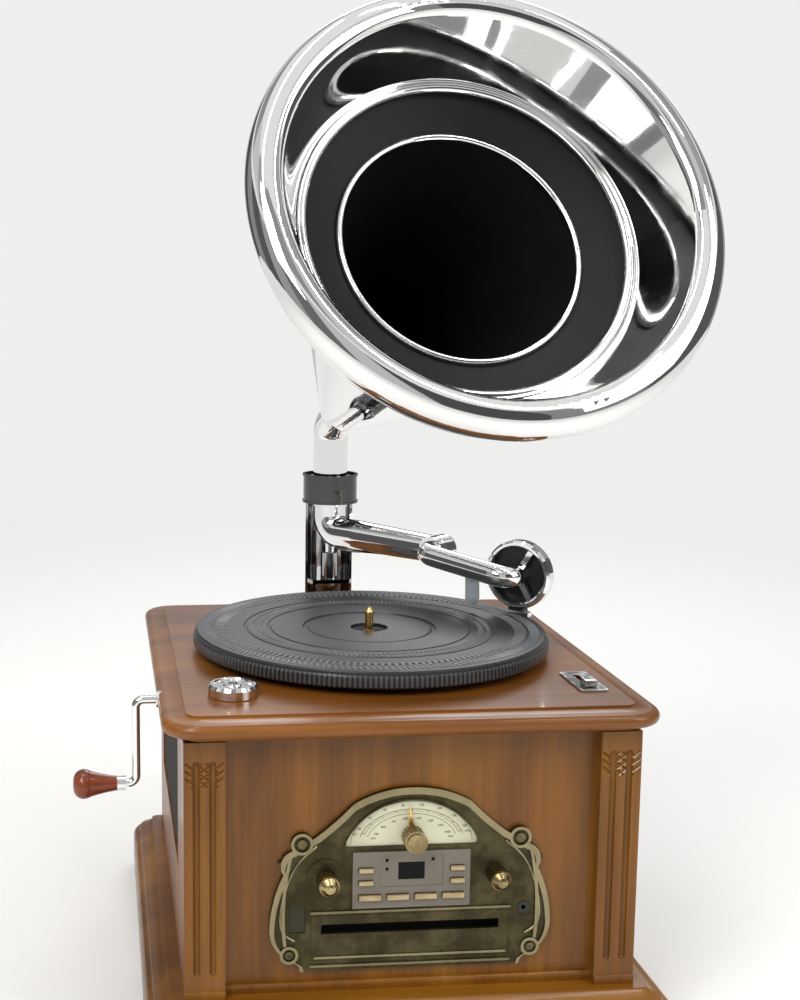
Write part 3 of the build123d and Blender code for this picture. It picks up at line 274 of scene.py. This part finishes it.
bright_chrome = chrome("bright_chrome", 0.86, 0.05)
satin_chrome = chrome("satin_chrome", 0.72, 0.22)
dark_chrome = chrome("dark_chrome", 0.40, 0.10)
black_chrome = chrome("black_chrome", 0.10, 0.16)
polished_brass = brass("polished_brass", (0.48, 0.37, 0.19), (0.24, 0.18, 0.09), 0.20)
button_brass = brass("button_brass", (0.52, 0.42, 0.25), (0.40, 0.31, 0.17), 0.26, 60.0)
needle_gold = brass("needle_gold", (0.86, 0.58, 0.20), (0.72, 0.46, 0.15), 0.18)
aged_brass = brass("aged_brass", (0.20, 0.16, 0.085), (0.07, 0.06, 0.035), 0.34)

# %% [markdown]
# ## Rubber, plastics, cloth and print
# The rest are dielectrics. Moulded plastic has a fine even texture, rubber a duller one with dust in it, the
# speaker cloth a weave, and the dial a cream ground that turns darker and yellower towards its edge.

# %% Everything that isn't metal or wood
def moulded(name, colour, rough, texture=900.0, depth=0.12, coat=0.0, shine=0.5):
    finish = Finish(name)
    fine = finish.noise(finish.place(), texture, 2.0)
    cloud = finish.noise(finish.place(), 22.0, 3.0)
    tint = finish.mix(cloud, colour, tuple(c * 1.35 + 0.002 for c in colour))
    return finish.surface(Base_Color=tint, Roughness=fine * 0.12 + cloud * 0.10 + rough, Coat_Weight=coat,
                          Specular_IOR_Level=shine, Normal=finish.bump(fine, depth, 0.0003))


def cloth(name, threads):
    """Woven cloth: two crossing sets of waves stand for its threads."""
    finish = Finish(name)
    warp = finish.node("TexWave", {"wave_type": "BANDS", "bands_direction": "Y"},
                       {"Vector": finish.place(), "Scale": threads, "Distortion": 0.4}, output=1)
    weft = finish.node("TexWave", {"wave_type": "BANDS", "bands_direction": "Z"},
                       {"Vector": finish.place(), "Scale": threads, "Distortion": 0.4}, output=1)
    weave = warp * 0.5 + weft * 0.5
    colour = finish.mix(weave, (0.006, 0.005, 0.005), (0.040, 0.035, 0.033))
    return finish.surface(Base_Color=colour, Roughness=0.92, Normal=finish.bump(weave, 0.6, 0.0008))


def ribbed_rim(name, centre_y, ribs):
    """Black enamel with fine upright ribs round the Z axis; the rib tops are coloured lighter as a painted
    highlight.
    """
    finish = Finish(name)
    turn = (finish.axis("Y") - centre_y).math("ARCTAN2", finish.axis("X"))
    rib_and_sheen = (turn * ribs).math("SINE").above(0.0, 0.5)
    # The rib tops take a lighter colour than the grooves: a painted highlight on one black enamel.
    colour = finish.mix(rib_and_sheen, (0.006, 0.006, 0.007), (0.055, 0.055, 0.060))
    return finish.surface(Base_Color=colour, Roughness=0.34 - rib_and_sheen * 0.12,
                          Normal=finish.bump(rib_and_sheen, 0.5, 0.0004))


def window_tint(name, sensor_edge, glass, recess):
    """The display's black glass, and the sensor's recess left of a plane x = sensor_edge."""
    finish = Finish(name)
    left = finish.axis("X").below(sensor_edge, 0.001)
    cloud = finish.noise(finish.place(), 90.0, 2.0)
    colour = finish.mix(left, glass, finish.mix(cloud, recess, tuple(0.7 * c for c in recess)))
    return finish.surface(Base_Color=colour, Roughness=left * 0.25 + 0.12, Specular_IOR_Level=0.12)


def dial_print(name, centre_z):
    finish = Finish(name)
    across = finish.axis("X")
    up = finish.axis("Z") - centre_z
    spread = (across * across + up * up).math("SQRT")
    grime = finish.noise(finish.place(), 70.0, 3.0)
    # The dial turns darker and yellower away from the pointer's pivot, with some grime mixed in.
    edge_darkening = (spread.above(0.040, 0.016) * 0.7 + grime * 0.3).math("MINIMUM", 1.0)
    colour = finish.mix(edge_darkening, (0.62, 0.62, 0.45), (0.40, 0.38, 0.24))
    return finish.surface(Base_Color=colour, Roughness=grime * 0.1 + 0.30, Coat_Weight=0.5)


def glazed(name, colour, alpha):
    finish = Finish(name)
    cloud = finish.noise(finish.place(), 90.0, 2.0)
    tint = finish.mix(cloud, colour, tuple(c * 0.8 for c in colour))
    return finish.surface(Base_Color=tint, Roughness=cloud * 0.08 + 0.12, Alpha=alpha, Coat_Weight=0.6)


black_rubber = moulded("black_rubber", (0.018, 0.019, 0.020), 0.46, 700.0, 0.2)
mat_rubber = moulded("mat_rubber", (0.014, 0.015, 0.017), 0.30, 1200.0, 0.12)
# The bars are the mat's own rubber; their lighter grey is a painted highlight of their lit tops.
mat_bars_highlight = moulded("mat_bars_highlight", (0.095, 0.100, 0.108), 0.24, 1200.0, 0.08)
black_plastic = moulded("black_plastic", (0.014, 0.014, 0.015), 0.34)
# The horn's liner is black and is darkened further, with a weak reflection: partly its own black, partly painted
# shade of the deep throat.
horn_black_and_shade = moulded("horn_black_and_shade", (0.003, 0.003, 0.0035), 0.42, 300.0, 0.03, 0.0, 0.22)
bronze_panel = moulded("bronze_panel", (0.125, 0.108, 0.082), 0.34, 800.0, 0.12, 0.2)
board_green = moulded("board_green", (0.03, 0.11, 0.045), 0.4)
ink = moulded("ink", (0.03, 0.028, 0.022), 0.5)
SENSOR_EDGE = -0.070
PLATTER_Y = 0.002
RIM_RIBS = 240.0
display_black = window_tint("display_black", SENSOR_EDGE, (0.004, 0.004, 0.005), (0.045, 0.045, 0.026))
platter_enamel = ribbed_rim("platter_enamel", PLATTER_Y, RIM_RIBS)
speaker_cloth = cloth("speaker_cloth", 130.0)
guard_plastic = glazed("guard_plastic", (0.36, 0.43, 0.48), 0.72)
print("materials made:", len(bpy.data.materials))

# %% [markdown]
# ## Who wears what
# Each solid keeps its shape and only gets a finish, so one table from finish to solids is all this step needs.
# Solids inside the cabinet are finished as well: they show when a panel is taken off.

# %% Assign the finishes
WARDROBE = {
    front_wood: ("front_board", "corner_posts"),
    side_wood: ("side_panels", "back_panel"),
    deck_wood: ("top_plate",),
    plinth_wood: ("base_plinth",),
    grip_wood: ("crank_grip",),
    bright_chrome: ("horn_neck", "horn_cone", "horn_flare", "tonearm_tube", "swan_neck", "sound_box",
                    "crank_rod", "grip_ferrule", "adapter_45", "deck_posts", "horn_rings", "crank_bush"),
    satin_chrome: ("speed_plate", "speed_knob", "spindle_bearing", "motor", "motor_pulley"),
    dark_chrome: ("horn_bracket",),
    aged_brass: ("fasteners",),
    black_chrome: ("collar",),
    needle_gold: ("tuning_needle", "spindle"),
    polished_brass: ("tuning_knob", "function_knob", "volume_knob"),
    button_brass: tuple(sorted(n for n in nodes if n.startswith("button_"))),
    black_rubber: ("rubber_feet", "drive_belt"),
    mat_rubber: ("platter_mat",),
    black_plastic: ("disc_mechanism", "headphone_socket", "rear_sockets", "collar_bush", "cartridge",
                    "loudspeakers", "sound_box_back"),
    platter_enamel: ("platter",),
    horn_black_and_shade: ("horn_liner",),
    bronze_panel: ("control_plate",),
    board_green: ("electronics",),
    display_black: ("display_windows",),
    speaker_cloth: ("speaker_grilles",),
    guard_plastic: ("stylus_guard",),
}


def dress(node, material):
    slots = nodes[node].material_slots
    if len(slots) == 0:
        nodes[node].data.materials.append(material)
    for place in slots:
        place.material = material


for material, worn_by in WARDROBE.items():
    for node in worn_by:
        dress(node, material)

plate_low, plate_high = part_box("escutcheon")
PLATE_FRONT = plate_low.y
HOLLOW = (0.052, 0.044, 0.023)
RIM = (0.30, 0.255, 0.145)
cast_brass = cast_plate("cast_brass", HOLLOW, RIM, PLATE_FRONT + 0.00045, 0.00015)
bezel_low, bezel_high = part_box("disc_bezel")
bezel_brass = cast_plate("bezel_brass", HOLLOW, RIM, bezel_low.y + 0.0006, 0.0005)
dress("escutcheon", cast_brass)
dress("disc_bezel", bezel_brass)
dial_low, dial_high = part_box("dial_scale")
DIAL_BASE = dial_low.z + 0.002
dress("dial_scale", dial_print("dial_print", DIAL_BASE))
print("dressed:", sum(len(n) for n in WARDROBE.values()) + 3, "of", len(nodes))

# %% [markdown]
# ## Making extra pieces
# Fine relief such as dial figures is too small to matter to the solid model, so it is built here. Every piece is
# a closed mesh, because the mesh itself is kept as a result: a mark on the dial is a very thin prism, not a flat
# face. A frame says how the drawing's two directions and its height lie in space.

# %% Prisms and pieces
class Relief:
    """A mesh of prisms drawn on a plane: right and up span the drawing, out is its height."""

    def __init__(self, origin, right, up, out):
        self.mesh = bmesh.new()
        self.origin = Vector(origin)
        self.right = Vector(right)
        self.up = Vector(up)
        self.out = Vector(out)

    def point(self, u, v, w):
        return self.origin + self.right * u + self.up * v + self.out * w

    def prism(self, outline, low, high, shrink=0.0):
        """A closed prism over an outline; shrink draws its top in, for a worn edge."""
        middle_u = sum(u for u, v in outline) / len(outline)
        middle_v = sum(v for u, v in outline) / len(outline)
        keep = 1.0 - shrink
        foot = [self.mesh.verts.new(self.point(u, v, low)) for u, v in outline]
        drawn_in = [(middle_u + (u - middle_u) * keep, middle_v + (v - middle_v) * keep) for u, v in outline]
        head = [self.mesh.verts.new(self.point(u, v, high)) for u, v in drawn_in]
        count = len(outline)
        self.mesh.faces.new(foot[::-1])
        self.mesh.faces.new(head)
        for i in range(count):
            j = (i + 1) % count
            self.mesh.faces.new((foot[i], foot[j], head[j], head[i]))

    def band(self, path, width, low, high):
        """A strip of even width along an open line, as one closed solid."""
        rings = []
        for i, (u, v) in enumerate(path):
            before = path[max(i - 1, 0)]
            after = path[min(i + 1, len(path) - 1)]
            along = Vector((after[0] - before[0], after[1] - before[1])).normalized()
            side = Vector((-along.y, along.x)) * width / 2
            corners = ((u + side.x, v + side.y, low), (u - side.x, v - side.y, low),
                       (u - side.x, v - side.y, high), (u + side.x, v + side.y, high))
            rings.append([self.mesh.verts.new(self.point(*c)) for c in corners])
        for first, second in zip(rings, rings[1:]):
            for i in range(4):
                j = (i + 1) % 4
                self.mesh.faces.new((first[i], first[j], second[j], second[i]))
        self.mesh.faces.new(rings[0][::-1])
        self.mesh.faces.new(rings[-1])

    def figure(self, words, u, v, size, thick):
        """Plain printed figures, set about their middle."""
        curve = bpy.data.curves.new("figure", "FONT")
        curve.body = words
        curve.size = size
        curve.extrude = thick / 2
        curve.resolution_u = 3
        curve.align_x = "CENTER"
        curve.align_y = "CENTER"
        text = bpy.data.objects.new("figure", curve)
        bpy.context.scene.collection.objects.link(text)
        made = bpy.data.meshes.new_from_object(text.evaluated_get(bpy.context.evaluated_depsgraph_get()))
        for vertex in made.vertices:
            flat = vertex.co.copy()
            vertex.co = self.point(u + flat.x, v + flat.y, flat.z + thick / 2)
        self.mesh.from_mesh(made)
        bpy.data.objects.remove(text)
        bpy.data.curves.remove(curve)
        bpy.data.meshes.remove(made)

    def piece(self, name, material, body):
        bmesh.ops.recalc_face_normals(self.mesh, faces=self.mesh.faces)
        data = bpy.data.meshes.new(name)
        self.mesh.to_mesh(data)
        self.mesh.free()
        data.materials.append(material)
        made = bpy.data.objects.new(name, data)
        bpy.context.scene.collection.objects.link(made)
        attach(made, body)
        print(name, "has", len(data.polygons), "faces")
        return made


def ellipse(wide, high, first, last, steps):
    """Points of an ellipse's arc, angles in degrees counted from the right."""
    turns = [math.radians(first + (last - first) * i / steps) for i in range(steps + 1)]
    return [(wide * math.cos(t), high * math.sin(t)) for t in turns]


MM = 0.001

# %% [markdown]
# ## The dial's scale
# The tuning dial is wider than it is high, so its scales are arcs of ellipses about the pointer. Two thin lines,
# short and long ticks and plain figures are enough for the eye to read a radio dial.

# %% Dial arcs, ticks and figures
INK_T = 0.12 * MM
dial = Relief((0.0, dial_low.y, DIAL_BASE), (1, 0, 0), (0, 0, 1), (0, -1, 0))
DIAL_LINES = (
    # half width, height, first and last angle in degrees, line width
    (40.0, 27.0, 14, 166, 0.35),
    (34.5, 23.4, 16, 164, 0.3),
    (45.8, 33.0, 2, 178, 0.25),
)
for wide, high, first, last, width in DIAL_LINES:
    dial.band([(u * MM, v * MM) for u, v in ellipse(wide, high, first, last, 64)], width * MM, 0.0, INK_T)
for i in range(57):
    turn = math.radians(20 + 140 * i / 56)
    long_tick = i % 7 == 0
    reach = 1.0 + (0.075 if long_tick else 0.04)
    start = (37.0 * math.cos(turn) * MM, 25.0 * math.sin(turn) * MM)
    end = (start[0] * reach, start[1] * reach)
    dial.band([start, end], (0.4 if long_tick else 0.25) * MM, 0.0, INK_T)
OUTER_FIGURES = ("108", "106", "104", "100", "96", "92", "90", "88")
INNER_FIGURES = ("1600", "1400", "1200", "1000", "800", "700", "600", "530")
for figures, wide, high, size in ((OUTER_FIGURES, 43.6, 30.2, 2.7), (INNER_FIGURES, 29.6, 19.8, 2.4)):
    for i, words in enumerate(figures):
        turn = math.radians(25 + 130 * i / (len(figures) - 1))
        dial.figure(words, wide * math.cos(turn) * MM, high * math.sin(turn) * MM, size * MM, INK_T)
for words, u, v in (("FM", -43.0, 8.6), ("AM", -29.0, 5.0), ("MHz", 42.5, 8.6), ("kHz", 29.5, 5.0)):
    dial.figure(words, u * MM, v * MM, 2.5 * MM, INK_T)
dial.piece("dial_marks", ink, "cabinet")

# %% [markdown]
# ## The mat's relief
# A turntable mat carries rings of raised bars that seem to stand still at the right speed. Each ring has its own
# count, length and slant. The bars' tops are drawn in a little, so that their edges catch the light as moulded
# rubber does.

# %% Rings of bars on the mat
mat_low, mat_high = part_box("platter_mat")
MAT_X = (mat_low.x + mat_high.x) / 2
MAT_Y = (mat_low.y + mat_high.y) / 2
RINGS = (
    # inner radius, outer radius, bars, share of the pitch, slant in degrees
    (133.5, 142.5, 180, 0.55, 1.4),
    (121.5, 131.5, 150, 0.50, 0.0),
    (92.0, 96.0, 150, 0.50, 1.0),
    (98.0, 102.0, 164, 0.50, -1.0),
)
relief = Relief((MAT_X, MAT_Y, mat_high.z), (1, 0, 0), (0, 1, 0), (0, 0, 1))
for inner, outer, bars, share, slant in RINGS:
    half = math.pi / bars * share
    lean = math.radians(slant)
    for i in range(bars):
        middle = 2 * math.pi * i / bars
        outline = [(r * MM * math.cos(middle + t), r * MM * math.sin(middle + t))
                   for r, t in ((inner, -half), (outer, lean - half), (outer, lean + half), (inner, half))]
        relief.prism(outline, 0.0, 0.55 * MM, 0.22)
relief.piece("mat_relief", mat_bars_highlight, "turntable")

# %% [markdown]
# ## Scrolls on the front plate
# Beside the controls the casting carries a raised rib that leaves the upper scroll, bows outwards and curls into
# the lower one. A bevelled curve through a few points gives that line with an even, rounded section.

# %% Scroll ribs
SCROLL_RIB = ((-71.0, 1.0), (-73.5, -1.5), (-81.0, -6.5), (-88.5, -16.5), (-93.8, -30.0),
              (-97.2, -43.0), (-98.8, -56.0), (-97.0, -66.5), (-92.0, -70.0), (-87.5, -72.5))
RIB_R = 1.0 * MM
RIB_SUNK = 0.0012


def rib(name, points):
    curve = bpy.data.curves.new(name, "CURVE")
    curve.dimensions = "3D"
    curve.bevel_depth = RIB_R
    curve.bevel_resolution = 3
    curve.use_fill_caps = True
    spline = curve.splines.new("NURBS")
    spline.points.add(len(points) - 1)
    for point, place in zip(spline.points, points):
        point.co = (*place, 1.0)
    spline.order_u = 4
    spline.use_endpoint_u = True
    curve.resolution_u = 6
    curve.materials.append(rib_brass)
    made = bpy.data.objects.new(name, curve)
    bpy.context.scene.collection.objects.link(made)
    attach(made, "cabinet")
    return made


rib_brass = brass("rib_brass", (0.36, 0.32, 0.20), (0.16, 0.14, 0.085), 0.24, 60.0)
for word, side in (("left", 1), ("right", -1)):
    line = [(side * u * MM, PLATE_FRONT + RIB_SUNK, DIAL_BASE + v * MM) for u, v in SCROLL_RIB]
    rib("scroll_rib_" + word, line)

# %% [markdown]
# ## Studio
# The floor is a pale disc and the background is the world's own colour, as bright to the camera and to
# reflections as the floor, so that no wall gets in the way when the camera goes round. Chrome needs more than
# that: it shows what stands round it. Two rings of light and dark cards, seen only in
# reflections, stand for the walls of a room, and two long lamps overhead for its strip lights. Far from the
# object the floor takes the background's own brightness for the camera and for mirrors, so no horizon shows,
# but it lights nothing more than plain paint would.

# %% Floor, world, reflected room and lamps
BACKDROP = (0.86, 0.86, 0.85)


def stage_disc(name, radius, height, material):
    mesh = bmesh.new()
    bmesh.ops.create_circle(mesh, cap_ends=True, segments=96, radius=radius)
    data = bpy.data.meshes.new(name)
    mesh.to_mesh(data)
    mesh.free()
    data.materials.append(material)
    made = bpy.data.objects.new(name, data)
    made.location.z = height
    bpy.context.scene.collection.objects.link(made)
    return made


def seen_directly(finish):
    """1 for rays from the camera, a mirror or glass, and 0 for the light that falls on things."""
    camera_ray = finish.node("LightPath", output="Is Camera Ray")
    mirror_ray = finish.node("LightPath", output="Is Glossy Ray")
    glass_ray = finish.node("LightPath", output="Is Transmission Ray")
    return (camera_ray + mirror_ray + glass_ray).math("MINIMUM", 1.0)


FLOOR_FADE = 1.9
FLOOR_FADE_SOFT = 1.1
floor_finish = Finish("floor_paint")
away = (floor_finish.axis("X") ** 2 + floor_finish.axis("Y") ** 2).math("SQRT")
painted = floor_finish.node("BsdfPrincipled", {}, {"Base Color": (*BACKDROP, 1.0), "Roughness": 0.9,
                                                   "Specular IOR Level": 0.1})
glowing = floor_finish.node("Emission", {}, {"Color": (*BACKDROP, 1.0), "Strength": 1.0})
fade = away.above(FLOOR_FADE, FLOOR_FADE_SOFT) * seen_directly(floor_finish)
blended = floor_finish.node("MixShader", {}, {0: fade, 1: painted, 2: glowing})
floor_finish.node("OutputMaterial", {}, {"Surface": blended})
stage_disc("floor", 14.0, -0.0006, floor_finish.material)

world = bpy.data.worlds.new("studio_world")
bpy.context.scene.world = world
world.use_nodes = True
sky = Finish.__new__(Finish)
sky.tree = world.node_tree
sky.tree.nodes.clear()
FILL_LEVEL = 0.55
strength = seen_directly(sky) * (1.0 - FILL_LEVEL) + FILL_LEVEL
background = sky.node("Background", {}, {"Color": (*BACKDROP, 1.0), "Strength": strength})
sky.node("OutputWorld", {}, {"Surface": background})


def only_reflected(made):
    made.visible_camera = False
    made.visible_diffuse = False
    made.visible_shadow = False
    made.visible_transmission = False
    made.visible_volume_scatter = False


def wall_band(name, radius, low, high, panels, tones):
    """A ring of upright cards round the object, in turn of each tone, seen only in reflections."""
    for index in range(panels):
        mesh = bmesh.new()
        first = 2 * math.pi * index / panels
        last = 2 * math.pi * (index + 1) / panels
        corners = [(radius * math.cos(t), radius * math.sin(t), z)
                   for t, z in ((first, low), (last, low), (last, high), (first, high))]
        mesh.faces.new([mesh.verts.new(c) for c in corners])
        data = bpy.data.meshes.new(name + str(index))
        mesh.to_mesh(data)
        mesh.free()
        paint = Finish(name + str(index))
        tone = tones[index % len(tones)]
        glow = paint.node("Emission", {}, {"Color": (tone, tone, tone * 1.02, 1.0), "Strength": 1.0})
        paint.node("OutputMaterial", {}, {"Surface": glow})
        data.materials.append(paint.material)
        made = bpy.data.objects.new(name + str(index), data)
        bpy.context.scene.collection.objects.link(made)
        only_reflected(made)


wall_band("far_wall", 5.0, 0.0, 3.4, 13, (0.10, 0.34, 0.16, 0.55, 0.08, 0.26))
wall_band("upper_wall", 4.2, 3.4, 6.0, 9, (0.30, 0.62, 0.38))


def lamp(name, place, aim, wide, long_side, power, tint=(1.0, 1.0, 1.0)):
    data = bpy.data.lights.new(name, "AREA")
    data.shape = "RECTANGLE"
    data.size = wide
    data.size_y = long_side
    data.energy = power
    data.color = tint
    made = bpy.data.objects.new(name, data)
    made.location = place
    made.rotation_euler = (Vector(aim) - Vector(place)).to_track_quat("-Z", "Y").to_euler()
    made.visible_camera = False
    bpy.context.scene.collection.objects.link(made)
    return made


TARGET = (0.0, 0.0, 0.35)
lamp("key_lamp", (-1.5, -1.9, 2.2), TARGET, 1.3, 1.3, 46.0, (1.0, 0.98, 0.95))
lamp("fill_lamp", (1.9, -1.4, 1.5), TARGET, 1.2, 1.6, 18.0)
lamp("strip_left", (-0.7, -0.6, 2.3), (-0.5, -0.2, 0.4), 0.10, 2.6, 14.0)
lamp("strip_right", (0.9, -0.9, 2.1), (0.3, -0.1, 0.5), 0.10, 2.6, 14.0)
lamp("rear_lamp", (0.6, 2.2, 1.9), TARGET, 1.2, 1.2, 20.0)
